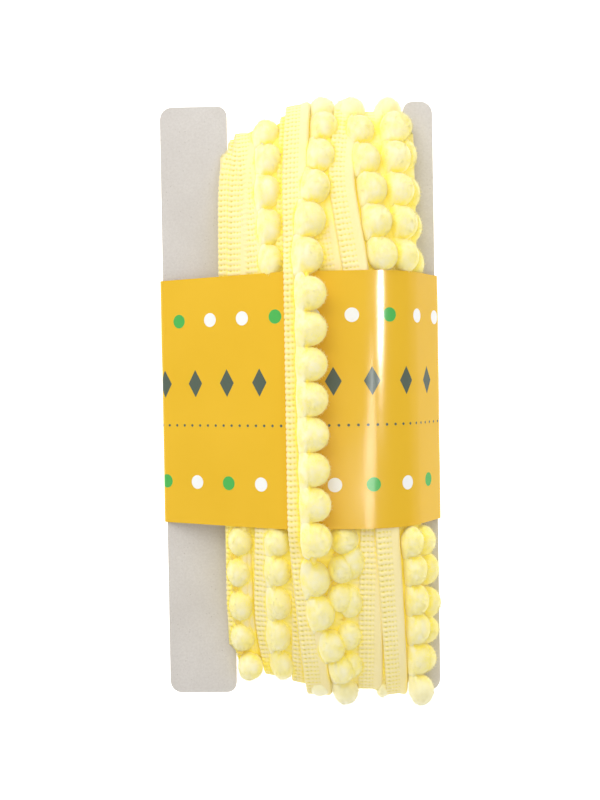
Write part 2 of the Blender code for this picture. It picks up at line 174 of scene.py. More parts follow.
TIE_HAIR_LENGTH = (0.3, 0.9)
HAIR_RADIUS = 0.055
HAIR_ROOT = 0.08  # how far a hair starts inside the yarn
HAIR_LENGTH = (0.35, 1.0)
HAIR_SIDE = (0.25, 0.0, 0.45)  # the way that more of the hairs stand
HAIR_LEAN = 0.45
# Waves over a pompom, a tuft and the paper: their height, their wavelength and how many.
POMPOM_WAVES = ((0.014, 7.5, 5), (0.006, 2.6, 8))
TIE_WAVES = ((0.22, 0.9, 6),)
RIPPLES = ((0.07, 34.0, 5), (0.02, 12.0, 6))
# Columns in front, named by their turn: each pompom's distance from the middle along the
# turn and its X; how deep the middles lie, the size across, and the length along over the
# room between them, each at the band and at the end; and whether a roll of yarn joins them.
Column = namedtuple("Column", "spots sink across along roll", defaults=((1.0, 1.0), False))
UPPER_COLUMNS = {
    "i": Column(((44.5, 36.9), (56.8, 36.5), (68.1, 36.3), (81.3, 35.6), (91.7, 34.3)),
        sink=(7.4, 6.4), across=(1.0, 0.9), roll=True),
    "h": Column(((46.2, 34.6), (57.2, 34.5), (68.4, 33.5), (80.0, 32.8), (91.2, 32.8), (103.0, 31.2)),
        sink=(1.6, 1.8), across=(0.98, 1.04), roll=True),
    "f": Column(((102.5, 16.2),),
        sink=(3.4, 3.4), across=(1.0, 1.0), along=(0.95, 0.95)),
    "c": Column(((44.5, -8.3), (56.4, -8.6), (68.5, -9.3), (80.4, -9.0), (91.7, -10.2)),
        sink=(3.0, 2.6), across=(0.88, 0.98), roll=True),
    "c_end": Column(((98.5, -11.2),),
        sink=(3.4, 3.4), across=(1.15, 1.15)),
    "g": Column(((46.3, 27.4), (57.2, 25.8), (68.4, 24.7), (79.1, 22.7), (90.6, 21.1), (101.5, 18.6)),
        sink=(1.2, 2.6), across=(1.0, 0.96), roll=True),
    "last": Column(((46.0, 3.3), (58.0, 4.4), (69.4, 6.2), (80.8, 8.0), (92.6, 9.4), (103.4, 8.7)),
        sink=(-0.8, 2.4), across=(1.04, 0.94), along=(0.98, 0.98), roll=True),
}
LOWER_COLUMNS = {
    "b": Column(((46.2, -20.7), (56.7, -21.4), (68.4, -21.1), (80.2, -21.0), (92.1, -18.7)),
        sink=(1.8, 2.4), across=(0.90, 0.92), along=(0.92, 0.88)),
    "c": Column(((45.5, -7.7), (55.5, -8.0), (66.8, -7.9), (78.8, -8.4), (91.5, -7.5)),
        sink=(3.0, 3.0), across=(0.92, 0.86), along=(1.0, 0.98), roll=True),
    "j": Column(((44.9, 13.4), (54.6, 12.6), (64.5, 12.1)),
        sink=(3.2, 3.2), across=(1.0, 1.0)),
    "k": Column(((52.1, 16.0), (65.9, 15.2), (78.3, 14.8), (90.0, 15.2)),
        sink=(4.2, 4.0), across=(0.88, 0.88), along=(0.9, 0.9)),
    "h": Column(((47.2, 39.5), (57.0, 40.7), (68.6, 41.3), (77.8, 40.6), (87.8, 39.6)),
        sink=(2.2, 2.0), across=(0.95, 0.92), along=(1.02, 1.0)),
    "g": Column(((46.4, 35.8), (56.0, 37.0), (66.3, 37.4), (76.6, 37.9), (87.9, 38.4), (99.9, 39.0)),
        sink=(-0.8, -0.4), across=(0.76, 0.86), along=(1.0, 0.98), roll=True),
    "f": Column(((104.0, 26.4),),
        sink=(3.4, 3.6), across=(0.6, 0.6), along=(0.9, 0.9)),
    "last": Column(((57.9, 4.1), (69.6, 5.6), (82.3, 9.1), (91.7, 12.4), (104.1, 13.6)),
        sink=(1.0, 1.2), across=(1.04, 0.88), along=(0.98, 0.98), roll=True),
}
COLUMN_START = 45.0  # where a column's values at the band hold
COLUMN_LENGTH = 50.0  # and how far on its values at the end do
ON_BAND = dict(first=33.6, pitch=11.05, count=8, y=(-44.0, 0.0, 34.0), x=(4.8, 4.2, 4.2))
ON_BAND_SIZE = (1.02, 1.04, POMPOM_FLATNESS)
BEHIND_HANG = 9.3  # from the free edge to the pompoms, for the turns behind
BEHIND_SINK = 3.6
BEHIND_FIRST = 47.0
BEHIND_COUNT = 6
BEHIND_END = 96.0
BEHIND_COVER = 4.6  # how near a later turn's middle hides a pompom
BEHIND_CROWD = 8.4
BEHIND_SIZE = (0.94, 0.98, POMPOM_FLATNESS)
BEHIND_WIDTH = 0.92  # share of their radius that keeps off the ears
EAR_CLEAR = 0.3

# ---- the map of heights that shows which places lie in a hollow ----
MAP_HALF = (54.0, 112.0)  # in X and in Y
MAP_CELL = 0.3
MAP_CELLS = tuple(int(2 * half / MAP_CELL) for half in MAP_HALF)
HORIZON_WAYS = 12
HORIZON_REACH = (0.7, 1.3, 2.1, 3.2, 4.8)
OPEN_SKY = 0.62  # share of the sky seen from a place that counts as open
CLOSED_SKY = 0.20
SHOULDER_FADE = (92.0, 98.0)  # in Y, where the map no longer tells a hollow from the outline


# ---- the wound surface ----
def belt(circles, grow):
    """Outline in X and Z of a belt round circles (x, z, radius), clockwise from +Z."""
    points = []
    headings = []
    for index, (ax, az, ar) in enumerate(circles):
        bx, bz, br = circles[(index + 1) % len(circles)]
        span = math.hypot(bx - ax, bz - az)
        headings.append(math.atan2(bz - az, bx - ax) + math.pi / 2 - math.asin((ar - br) / span))
    for index, (x, z, radius) in enumerate(circles):
        start = headings[index - 1]
        turn = (start - headings[index]) % (2 * math.pi)
        steps = max(1, math.ceil(turn / BELT_STEP))
        for step in range(steps + 1):
            angle = start - turn * step / steps
            points.append((x + (radius + grow) * math.cos(angle), z + (radius + grow) * math.sin(angle)))
    return points


def band_circles():
    """Centres of the corners under the paper, with the paper's inner radii."""
    inner = CREST - BAND_SPACE
    left = CREST_LEFT_RADIUS - BAND_SPACE
    right = CREST_RIGHT_RADIUS - BAND_SPACE
    edge = CARD_WIDTH / 2 + EDGE_CLEAR - EDGE_RADIUS
    return [
        (-edge, 0.0, EDGE_RADIUS),
        (CREST_LEFT, inner - left, left),
        (CREST_RIGHT, inner - right, right),
        (edge, 0.0, EDGE_RADIUS),
        (CREST_RIGHT, right - inner, right),
        (CREST_LEFT, left - inner, left),
    ]


CREST_X, CREST_Z = np.array(sorted(point for point in belt(band_circles(), 0.0) if point[1] > 0.0)).T


def rise_at(x):
    """Height of the winding's surface over the card's middle at X."""
    return np.interp(x, CREST_X, CREST_Z) - GAP


def slope_cosine(x):
    """Cosine of the surface's slope across the card at X."""
    fall = (rise_at(x + 1.0) - rise_at(x - 1.0)) / 2
    return 1.0 / np.hypot(1.0, fall)


def wound(x, lap, depth, reach_x=None):
    """Points depth below the winding's surface. Lap 0 to 3 goes down the front, 3 to 6 up behind."""
    x, lap, depth = np.broadcast_arrays(x, lap, depth)
    lap = np.mod(lap, LAP)
    part = np.minimum(lap.astype(int), 5)
    share = lap - part
    rising = np.choose(part, [share, 1.0, 1.0 - share, share, 1.0, 1.0 - share])
    end = np.choose(part, [1.0, 0.0, -1.0, -1.0, 0.0, 1.0])
    along_flat = FLAT_HALF * (1.0 - 2.0 * share)
    flat = np.choose(part, [FLAT_HALF, along_flat, -FLAT_HALF, -FLAT_HALF, -along_flat, FLAT_HALF])
    face = np.where(part < 3, 1.0, -1.0)
    across = x if reach_x is None else reach_x
    reach = np.where(end >= 0, np.interp(across, REACH_X, REACH_TOP), np.interp(across, REACH_X, REACH_LOW))
    angle = rising * math.pi / 2
    along = np.clip(np.cos(angle), 0.0, 1.0) ** (2 / BULGE_Y)
    up = np.sin(angle) ** (2 / BULGE_Z)
    y = flat + end * (reach - depth - FLAT_HALF) * along
    rise = rise_at(x) - np.where(face < 0, BACK_SETTLE, 0.0)
    return np.stack([x, y, CARD_Z + face * (rise - depth) * up], axis=-1)


def in_front(lap):
    """Whether each lap lies on the front half of the turn."""
    return np.mod(lap, LAP) < LAP / 2


def laps_to_end(lap):
    """How far each lap is from the nearer of the card's ends."""
    share = np.mod(lap, LAP)
    return np.minimum.reduce([np.abs(share - end) for end in (0.0, LAP / 2, LAP)])


def end_sine(near):
    """From 0 at the card's end to 1 at the shoulder and beyond it."""
    return np.sin(np.clip(near, 0.0, 1.0) * math.pi / 2)


def unit(vectors):
    """The vectors, each scaled to a length of 1."""
    return vectors / np.maximum(np.linalg.norm(vectors, axis=-1, keepdims=True), 1e-9)


def spans(points):
    """Distance from each point of a line to the next."""
    return np.linalg.norm(np.diff(points, axis=0), axis=1)


def running(lengths):
    """Running total of the lengths, from 0."""
    return np.concatenate([[0.0], np.cumsum(lengths)])


def smoothed(values, width):
    """A running mean over width samples, with the ends held."""
    half = width // 2
    padded = np.concatenate([np.full(half, values[0]), values, np.full(half, values[-1])])
    return np.convolve(padded, np.ones(2 * half + 1) / (2 * half + 1), mode="valid")


def neck_limited(line, lap):
    """Draws a braid's line in between the ears, where the turn passes round the card's end."""
    low = NECK_LEFT + BRAID_LINE + NECK_CLEAR
    high = NECK_RIGHT - (BRAID_WIDTH - BRAID_LINE) - NECK_CLEAR
    ease = np.clip((BRAID_NECK_SINE - end_sine(laps_to_end(lap))) / BRAID_NECK_EASE, 0.0, 1.0)
    return line + ease * (np.clip(line, low, high) - line)


# ---- meshes ----
def add_object(name, data):
    """Adds an object to the scene."""
    made = bpy.data.objects.new(name, data)
    bpy.context.collection.objects.link(made)
    return made


def add_mesh(name, verts, faces, finish, replaces, attributes=None):
    """Makes a piece in metres from millimetre points and equal-sided faces."""
    mesh = bpy.data.meshes.new(name)
    verts = np.asarray(verts, np.float32) * MM
    faces = np.asarray(faces, np.int32)
    mesh.vertices.add(len(verts))
    mesh.vertices.foreach_set("co", verts.ravel())
    mesh.loops.add(faces.size)
    mesh.loops.foreach_set("vertex_index", faces.ravel())
    mesh.polygons.add(len(faces))
    mesh.polygons.foreach_set("loop_start", np.arange(0, faces.size, faces.shape[1], dtype=np.int32))
    mesh.update(calc_edges=True)
    for key, values in (attributes or {}).items():
        layer = mesh.attributes.new(key, "FLOAT", "POINT")
        layer.data.foreach_set("value", np.asarray(values, np.float32))
    mesh.shade_smooth()
    mesh.materials.append(finish)
    made = add_object(name, mesh)
    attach(made, "root")
    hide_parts(replaces)
    return made


# A piece of the trim before it is a mesh, and its crease: how much painted shade each point gets in holes,
# grooves, undersides and tied tufts.
Piece = namedtuple("Piece", "name verts faces crease")


def joined(name, parts):
    """One piece from its parts, each given by its points, faces and creases."""
    verts, faces, crease = [list(values) for values in zip(*parts)]
    start = 0
    for index, points in enumerate(verts):
        faces[index] = faces[index] + start
        start += len(points)
    return Piece(name, np.concatenate(verts), np.concatenate(faces), np.concatenate(crease))


def ring_faces(here, there, size):
    """Quads from closed rings of points to other rings, each given by its first point."""
    column = np.arange(size)
    after = (column + 1) % size
    here = np.atleast_1d(here)[:, None]
    there = np.atleast_1d(there)[:, None]
    return np.stack([here + column, there + column, there + after, here + after], axis=-1).reshape(-1, 4)


def tube_faces(rings, ring_size):
    """Quads between successive rings, and quads across both ends."""
    starts = np.arange(rings) * ring_size
    sides = ring_faces(starts[:-1], starts[1:], ring_size)
    half = ring_size // 2
    left = np.arange(half - 1)
    right = ring_size - 1 - left
    cap = np.stack([left, left + 1, right - 1, right], axis=-1)
    return np.concatenate([sides, cap, cap[:, ::-1] + starts[-1]])


# ---- how sunk each place lies ----
def map_cell(x, y):
    """Column and row of the map's cell at each place."""
    ways = zip((x, y), MAP_HALF, MAP_CELLS)
    return tuple(np.clip(((at + half) / MAP_CELL).astype(int), 0, cells - 1) for at, half, cells in ways)


def height_map(pieces, face):
    """The highest yarn or paper over each cell of the plan, for the front or the back."""
    highest = np.zeros(MAP_CELLS)
    for piece in pieces:
        x, y, z = piece.verts.T
        np.maximum.at(highest, map_cell(x, y), face * (z - CARD_Z))
    ways = zip(MAP_HALF, MAP_CELLS)
    across, along = [(np.arange(cells) + 0.5) * MAP_CELL - half for half, cells in ways]
    paper = np.where(np.abs(across) < CARD_WIDTH / 2, rise_at(across) + GAP, 0.0)
    highest = np.maximum(highest, paper[:, None] * (np.abs(along) < BAND_HALF)[None, :])
    for axis in (0, 1):
        highest = np.maximum.reduce([np.roll(highest, shift, axis) for shift in (-1, 0, 1)])
    return highest


# The yarn's finishes paint shade and a glow into the places that this finds hollow.
def hollows(pieces):
    """For every vertex of the pieces, 0 in the open to 1 deep between its neighbours."""
    fields = {face: height_map(pieces, face) for face in (1, -1)}
    found = []
    for piece in pieces:
        x, y, z = piece.verts.T
        face = np.where(z >= CARD_Z, 1, -1)
        height = face * (z - CARD_Z)
        seen = np.zeros(len(x))
        for step in range(HORIZON_WAYS):
            angle = 2 * math.pi * (step + 0.5) / HORIZON_WAYS
            steepest = np.zeros(len(x))
            for distance in HORIZON_REACH:
                cell = map_cell(x + distance * math.cos(angle), y + distance * math.sin(angle))
                above = np.where(face > 0, fields[1][cell], fields[-1][cell]) - height
                steepest = np.maximum(steepest, above / distance)
            seen += 1.0 / (1.0 + steepest ** 2)
        deep = np.clip((OPEN_SKY - seen / HORIZON_WAYS) / (OPEN_SKY - CLOSED_SKY), 0.0, 1.0)
        found.append(deep * np.interp(np.abs(y), SHOULDER_FADE, (1.0, 0.25)))
    return found


# ---- the knitted braid ----
def braid_columns():
    """Places across the braid, closer together in the stitches than in the selvedge."""
    stitches = np.linspace(0.12, SMOOTH_EDGE, STITCH_COLUMNS)
    selvedge = np.linspace(SMOOTH_EDGE + 0.4, BRAID_WIDTH - 0.1, SELVEDGE_COLUMNS)
    return np.concatenate([stitches, selvedge])


def knit_relief(across, travel):
    """Height of the knitting over its flat, how deep in a hole each place lies, and its ribs."""
    chain = np.zeros_like(across)
    holes = np.zeros_like(across)
    for place, width, weight in HOLE_COLUMNS:
        bump = np.exp(-((across - place) / width) ** 2 / 2)
        holes = np.maximum(holes, weight * bump)
    places = [0.0] + [column[0] for column in HOLE_COLUMNS]
    for index, (start, stop) in enumerate(zip(places, places[1:])):
        inside = (across >= start) & (across < stop)
        lean = (across - start) / (stop - start) - 0.5
        chain = np.where(inside, lean * (0.1 if index % 2 else -0.1), chain)
    phase = np.mod(travel / ROW + chain, 1.0) - 0.5
    rib = 1.0 - np.abs(2.0 * phase) ** 2.6
    stitched = 1.0 / (1.0 + np.exp((across - SMOOTH_EDGE + 0.25) / 0.12))
    valley = np.exp(-((0.5 - np.abs(phase)) * ROW / 0.2) ** 2 / 2)
    relief = stitched * (-(0.2 + 0.2 * holes) * (1.0 - rib) - 0.08 * holes - 0.35 * holes * valley)
    diagonal = np.sin(2 * math.pi * (travel / 1.1 + across / 1.6))
    cord = np.exp(-((across - 7.0) / 1.5) ** 2)
    relief += (1.0 - stitched) * (0.04 * diagonal + 0.5 * cord - 0.1)
    rim = np.clip(1.0 - across / 0.55, 0.0, 1.0) ** 2
    rim += np.clip(1.0 - (BRAID_WIDTH - across) / 0.9, 0.0, 1.0) ** 2 * 0.9
    # How deep in a hole or a valley between rows each place lies: the finish paints shade there.
    crease = stitched * holes * valley + 0.25 * stitched * valley
    return relief - rim, np.clip(crease, 0.0, 1.0), rib


def braid(lap, line, depth, step, phase):
    """One closed strip of knitting along a turn, from dense samples of its lap, line and depth."""
    span = spans(wound(line, lap, depth))
    travel = running(span)
    density = running(span / ((step[1:] + step[:-1]) / 2))
    rows = max(4, int(round(density[-1])))
    at = np.interp(np.linspace(0.0, density[-1], rows + 1), density, travel)
    drift = smoothed(np.gradient(line, travel), DRIFT_BLUR)
    across = braid_columns()
    offset = across - BRAID_LINE
    skewed = at[:, None] - offset[None, :] * np.interp(at, travel, drift)[:, None]
    skewed = np.clip(skewed, 0.0, travel[-1])
    row_lap = np.interp(skewed, travel, lap)
    row_line = np.interp(skewed, travel, line)
    row_depth = np.interp(skewed, travel, depth)
    x = row_line + offset[None, :] * slope_cosine(row_line)
    base = wound(x, row_lap, row_depth, row_line + REACH_TILT * (x - row_line))
    forward = unit(np.gradient(base, axis=0))
    sideways = unit(np.gradient(base, axis=1))
    normal = unit(np.cross(forward, sideways))
    along = np.broadcast_to(at[:, None] + phase, base.shape[:2])
    relief, crease, rib = knit_relief(np.broadcast_to(across, base.shape[:2]), along)
    scallop = np.clip(1.0 - across / 0.9, 0.0, 1.0)[None, :] * (0.12 + 0.3 * rib)
    top = base + normal * relief[..., None] - sideways * scallop[..., None]
    below = np.linspace(len(across) - 2, 1, UNDER_COLUMNS).astype(int)
    under = base[:, below] - normal[:, below] * BRAID_THICKNESS
    ring = np.concatenate([top, under], axis=1)
    # The stitches carry their crease, and the underside a painted shade of 0.4.
    shade = np.concatenate([crease, np.full(under.shape[:2], 0.4)], axis=1)
    return ring.reshape(-1, 3), tube_faces(ring.shape[0], ring.shape[1]), shade.ravel()


# ---- the turns ----
def free_edge(x, lap, front, behind):
    """Free edge of a turn at each lap; front and behind are places in Y and the edge's X there."""
    y = wound(x, lap, 0.0)[:, 1]
    return np.where(in_front(lap), np.interp(y, *front), np.interp(y, *behind))


def last_edge(lap):
    """Free edge of the last turn, which ends under the band behind, above and below."""
    front = (LOW_Y + TURN_Y[::-1], LAST.lower[::-1] + LAST.upper[::-1])
    behind_y = (-TURN_Y[0], -TURN_Y[2], TURN_Y[2], TURN_Y[0])
    behind = (behind_y, (LAST.lower[2], LAST_BEHIND[1], LAST_BEHIND[0], LAST.upper[0]))
    return free_edge(LAST.upper[1], lap, front, behind)


def row_steps(lap, on_band=False):
    """How far apart the rows of vertices lie: fine in front, coarse behind and unseen."""
    places = wound(0.0, lap, 0.0)
    steps = np.where(in_front(lap), FINE_STEP, COARSE_STEP)
    hidden = np.abs(places[:, 1]) < UNSEEN_HALF
    if on_band:
        hidden &= ~in_front(lap)
    return np.where(hidden, HIDDEN_STEP, steps)


def turn_strip(lap, edge, front_depth, behind_depth, phase):
    """One turn's strip along its free edge, at its depths in front and behind."""
    line = neck_limited(smoothed(edge, EDGE_BLUR) + BRAID_LINE, lap)
    front = np.mod(lap + FRONT_EASE, LAP) < LAP / 2 + 2 * FRONT_EASE
    depth = smoothed(np.where(front, front_depth, behind_depth), EDGE_BLUR)
    return braid(lap, smoothed(line, LINE_BLUR), depth, row_steps(lap), phase)


def build_turns(chance):
    """Every turn but the last, as one strip over the top end and one round the low end."""
    upper = []
    lower = []
    befores = TURNS[:1] + TURNS[:-1]
    afters = TURNS[1:] + [LAST]
    over_top = np.linspace(-1.0 - UNDER_BAND, 1.0 + UNDER_BAND, TURN_SAMPLES)
    round_low = np.linspace(2.0 - UNDER_BAND, 4.0 + UNDER_BAND, TURN_SAMPLES)
    for turn, before, after in zip(TURNS, befores, afters):
        phase = chance.uniform(0.0, ROW)
        behind = (ENDS_Y, (before.lower[2], turn.upper[0]))
        edge = free_edge(turn.upper[1], over_top, (TURN_Y[::-1], turn.upper[::-1]), behind)
        upper.append(turn_strip(over_top, edge, turn.depth, before.behind, phase))
        behind = (ENDS_Y, (turn.lower[2], after.upper[0]))
        edge = free_edge(turn.lower[1], round_low, (LOW_Y, turn.lower[::-1]), behind)
        lower.append(turn_strip(round_low, edge, turn.depth, turn.behind, phase))
    return [joined("turns_upper", upper), joined("turns_lower", lower)]


def build_last_turn():
    """The last turn: out from under the band behind, over it in front and back under it."""
    lap = np.linspace(-1.0 - UNDER_BAND, 4.0 + UNDER_BAND, LAST_SAMPLES)
    line = neck_limited(smoothed(last_edge(lap), EDGE_BLUR) + BRAID_LINE, lap)
    distance = np.abs(wound(0.0, lap, 0.0)[:, 1])
    stepped = np.interp(distance, STEP_OFF_BAND, (ON_BAND_DEPTH, LAST.depth))
    depth = smoothed(np.where(in_front(lap), stepped, LAST.behind), STEP_BLUR)
    return Piece("last_turn", *braid(lap, line, depth, row_steps(lap, on_band=True), LAST_PHASE))


def build_core():
    """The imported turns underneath, a ring through both notches."""
    lap = np.concatenate([part + np.arange(rows) / rows for part, rows in enumerate(2 * CORE_ROWS)])
    middle = wound(CORE_MIDDLE, lap, CORE_DEPTH)
    near = laps_to_end(lap)
    sine = end_sine(near)
    neck = np.clip((NECK_SINE + CORE_EASE - sine) / CORE_EASE, 0.0, 1.0)
    left = CORE_LEFT + neck * (NECK_LEFT - CORE_LEFT)
    right = CORE_RIGHT + neck * (NECK_RIGHT - CORE_RIGHT)
    share = np.linspace(0.0, 1.0, CORE_COLUMNS)
    x = left[:, None] + (right - left)[:, None] * share[None, :]
    phase = np.mod(running(spans(middle)) / ROW, 1.0) - 0.5
    rib = CORE_RIB * (np.abs(2.0 * phase) ** 2.2)
    outer = wound(x, lap[:, None], CORE_DEPTH + rib[:, None])
    slot_y = CARD_HALF_LENGTH - NOTCH_DEPTH + GAP
    slot_z = CARD_THICKNESS / 2 + GAP
    inner_y = np.where(near < 1.0, slot_y + (FLAT_HALF - slot_y) * sine ** 3, np.abs(middle[:, 1]))
    inner_y = np.sign(middle[:, 1]) * np.where(sine < NECK_SINE, slot_y, inner_y)
    face = np.where(in_front(lap), 1.0, -1.0)
    inner_z = CARD_Z + face * slot_z * np.clip(near / 0.02, 0.0, 1.0)
    inner = [np.stack([side, inner_y, inner_z], axis=-1)[:, None, :] for side in (right, left)]
    rings = np.concatenate([outer] + inner, axis=1)
    count, size = rings.shape[:2]
    starts = np.arange(count) * size
    faces = ring_faces(starts, np.roll(starts, -1), size)
    # Painted shade in the grooves between rows, and a painted shade of 0.5 on the two inner rows in the
    # card's slot.
    groove_shade = np.repeat(rib[:, None] * 0.8, CORE_COLUMNS, axis=1)
    shade = np.concatenate([groove_shade, np.full((count, 2), 0.5)], axis=1)
    return Piece("packed_turns", rings.reshape(-1, 3), faces, shade.ravel())


# ---- pompoms ----
def ball(subdivisions):
    """Directions and faces of an icosphere."""
    bm = bmesh.new()
    bmesh.ops.create_icosphere(bm, subdivisions=subdivisions, radius=1.0)
    bm.verts.index_update()
    verts = np.array([vert.co for vert in bm.verts])
    faces = np.array([[vert.index for vert in face.verts] for face in bm.faces])
    bm.free()
    return unit(verts), faces


def waves(points, chance, wavelength, count):
    """Smooth seeded noise from plane waves of about one wavelength, from -1 to 1."""
    total = np.zeros(points.shape[0])
    for _ in range(count):
        heading = unit(np.array([chance.normal(size=3)]))[0]
        length = wavelength * chance.uniform(0.75, 1.35)
        total += np.sin(points @ heading * 2 * math.pi / length + chance.uniform(0, 2 * math.pi))
    return total / math.sqrt(count * 2.0)


def layered(points, layers, chance):
    """Sum of layers of waves, each with its height, its wavelength and how many waves it has."""
    return sum(height * waves(points, chance, length, count) for height, length, count in layers)


def outside_roll(points, neighbours):
    """Distance outside the roll of yarn that runs from a pompom's left side to its neighbours'."""
    stretch = np.array([1.0 / ROLL_STRETCH, 1.0, 1.0])
    from_root = points - np.array([ROLL_X, 0.0, ROLL_Z])
    away = [np.linalg.norm(from_root * stretch, axis=1)]
    for neighbour in neighbours:
        share = np.clip(from_root @ neighbour / (neighbour @ neighbour), 0.0, 1.0)
        away.append(np.linalg.norm((from_root - share[:, None] * neighbour) * stretch, axis=1))
    return np.minimum.reduce(away) - ROLL_RADIUS


def joined_field(points, neighbours, roll):
    """Distance outside a ball blended with its neighbours and the roll that joins them."""
    sharpness = np.full(len(points), BLEND)
    others = [np.linalg.norm(points - neighbour, axis=1) - POMPOM_RADIUS for neighbour in neighbours]
    if roll:
        sharpness = np.interp(points[:, 0], ROLL_BLEND_X, ROLL_BLEND)
        others.append(outside_roll(points, neighbours))
    total = np.exp(-sharpness * (np.linalg.norm(points, axis=1) - POMPOM_RADIUS))
    for away in others:
        total += np.exp(-sharpness * np.clip(away, *BLEND_LIMIT))
    return -np.log(total) / sharpness


def pompom_points(directions, chance, size, neighbours, roll):
    """A tied lock of yarn round the origin: X away from the braid, Y back along it, Z outward.

    Its right side is a full round lobe. Where there is a roll of yarn along the selvedge, its
    left side runs into the roll, and so into the next ones.
    """
    reach = np.full(len(directions), POMPOM_RADIUS)
    for _ in range(SKIN_STEPS):
        reach -= SKIN_SHARE * joined_field(directions * reach[:, None], neighbours, roll)
        reach = np.clip(reach, *POMPOM_REACH)
    for neighbour in neighbours:
        half = np.linalg.norm(neighbour) / 2 + 0.25
        towards = directions @ (neighbour / np.linalg.norm(neighbour))
        reach = np.minimum(reach, half / np.maximum(towards, 0.3))
    swell = layered(directions * POMPOM_RADIUS, POMPOM_WAVES, chance)
    points = directions * (reach * (1.0 + swell))[:, None] * size
    points[:, 0] *= np.where(points[:, 0] < 0.0, LEFT_SHARE, 1.0)
    return points


def hairs(roots, tips, centre, axes, crease, chance):
    """Short closed hairs about a centre, each a thin three-sided spike from its root to its tip."""
    count = len(roots)
    axis = unit(tips - roots)
    side = unit(np.cross(axis, chance.normal(size=(count, 3))))
    other = np.cross(axis, side)
    foot = roots - axis * HAIR_ROOT
    corners = []
    for step in range(3):
        angle = 2 * math.pi * step / 3
        corners.append(foot + HAIR_RADIUS * (side * math.cos(angle) + other * math.sin(angle)))
    verts = np.stack(corners + [tips], axis=1).reshape(-1, 3)
    first = np.arange(count)[:, None, None] * 4
    spikes = first + np.array([[0, 1, 3], [1, 2, 3], [2, 0, 3], [2, 1, 0]])
    return centre + verts @ axes, spikes.reshape(-1, 3), np.full(len(verts), crease)


def turn_frame(x, lap, depth):
    """Centre and axes at a place on the winding: away from the braid, back along it, outward."""
    step = 1e-3
    centre = wound(x, lap, depth)
    ahead = wound(x, lap + step, depth) - wound(x, lap - step, depth)
    back = -unit(ahead)
    outward = unit(wound(x, lap, depth - 1.0) - centre)
    aside = unit(np.cross(back, outward))
    outward = np.cross(aside, back)
    return centre, np.stack([aside, back, outward])


def lap_at(x, depth, distance, half, face):
    """The lap at a distance along the turn from the winding's middle."""
    end = LAP / 2 if half < 0 else LAP * (face < 0)
    lap = end + half * face * np.linspace(1.0, -0.9, PATH_SAMPLES)
    travel = FLAT_HALF + running(spans(wound(x, lap, depth)))
    return float(np.interp(distance, travel, lap))


def off_the_ears(centre, radius):
    """Lifts a pompom off the ear beside the notch, or past the card's end moves it in."""
    beside = centre[0] + radius > NECK_RIGHT or centre[0] - radius < NECK_LEFT
    height = centre[2] - CARD_Z
    lowest = CARD_THICKNESS / 2 + EAR_CLEAR + radius * POMPOM_FLATNESS
    if beside and abs(height) < lowest:
        if abs(centre[1]) < CARD_HALF_LENGTH + 0.5:
            return np.array([centre[0], centre[1], CARD_Z + math.copysign(lowest, height)])
        inside = float(np.clip(centre[0], NECK_LEFT + radius, NECK_RIGHT - radius))
        return np.array([inside, centre[1], centre[2]])
    return centre


# A row of pompoms: their centres, axes and sizes, whether a roll of yarn joins them, and
# the centres of the pompoms that it runs on to at its two ends.
Row = namedtuple("Row", "placed roll before after", defaults=(False, None, None))


def room_along(centres, index):
    """Mean distance from one pompom of a row to the ones beside it."""
    if len(centres) == 1:
        return PITCH
    beside = [near for near in (index - 1, index + 1) if 0 <= near < len(centres)]
    return float(np.mean([np.linalg.norm(centres[near] - centres[index]) for near in beside]))


def column_pompoms(column, half):
    """One column's pompoms in front, above the band or below it."""
    found = []
    for distance, x in column.spots:
        share = float(np.clip((distance - COLUMN_START) / COLUMN_LENGTH, 0.0, 1.0))
        pairs = (column.sink, column.across, column.along)
        sink, across, along = (float(np.interp(share, (0.0, 1.0), pair)) for pair in pairs)
        centre, axes = turn_frame(x, lap_at(x, sink, distance, half, 1), sink)
        found.append((off_the_ears(centre, POMPOM_RADIUS * across), axes, across, along))
    centres = [centre for centre, _, _, _ in found]
    placed = []
    for index, (centre, axes, across, along) in enumerate(found):
        length = along * room_along(centres, index) / (2 * POMPOM_RADIUS)
        placed.append((centre, axes, np.array([across, length, POMPOM_FLATNESS])))
    return Row(placed, column.roll)


def band_pompoms():
    """The last turn's pompoms over the band."""
    placed = []
    height = CREST + POMPOM_RADIUS * POMPOM_FLATNESS
    for index in range(ON_BAND["count"]):
        y = ON_BAND["first"] - ON_BAND["pitch"] * index
        x = float(np.interp(y, ON_BAND["y"], ON_BAND["x"]))
        placed.append((np.array([x, y, CARD_Z + height]), np.identity(3), np.array(ON_BAND_SIZE)))
    return Row(placed, True)


def behind_pompoms(kept):
    """Pompoms behind that no later turn covers and no pompom already placed crowds out."""
    edges = [(turn.lower[2], after.upper[0]) for turn, after in zip(TURNS, TURNS[1:] + [LAST])]
    found = []
    for half in (1, -1):
        for owner in range(len(edges) - 1, -1, -1):
            for index in range(BEHIND_COUNT):
                distance = BEHIND_FIRST + PITCH * index
                y = half * min(distance, BEHIND_END)
                x, *later = [float(np.interp(y, ENDS_Y, edge)) for edge in edges[owner:]]
                x += BEHIND_HANG
                if any(abs(edge + BRAID_WIDTH / 2 - x) < BEHIND_COVER for edge in later):
                    continue
                centre, axes = turn_frame(x, lap_at(x, BEHIND_SINK, distance, half, -1), BEHIND_SINK)
                centre = off_the_ears(centre, POMPOM_RADIUS * BEHIND_WIDTH)
                if all(np.linalg.norm(centre - other) > BEHIND_CROWD for other in kept):
                    kept.append(centre)
                    found.append(Row([(centre, axes, np.array(BEHIND_SIZE))]))
    return found


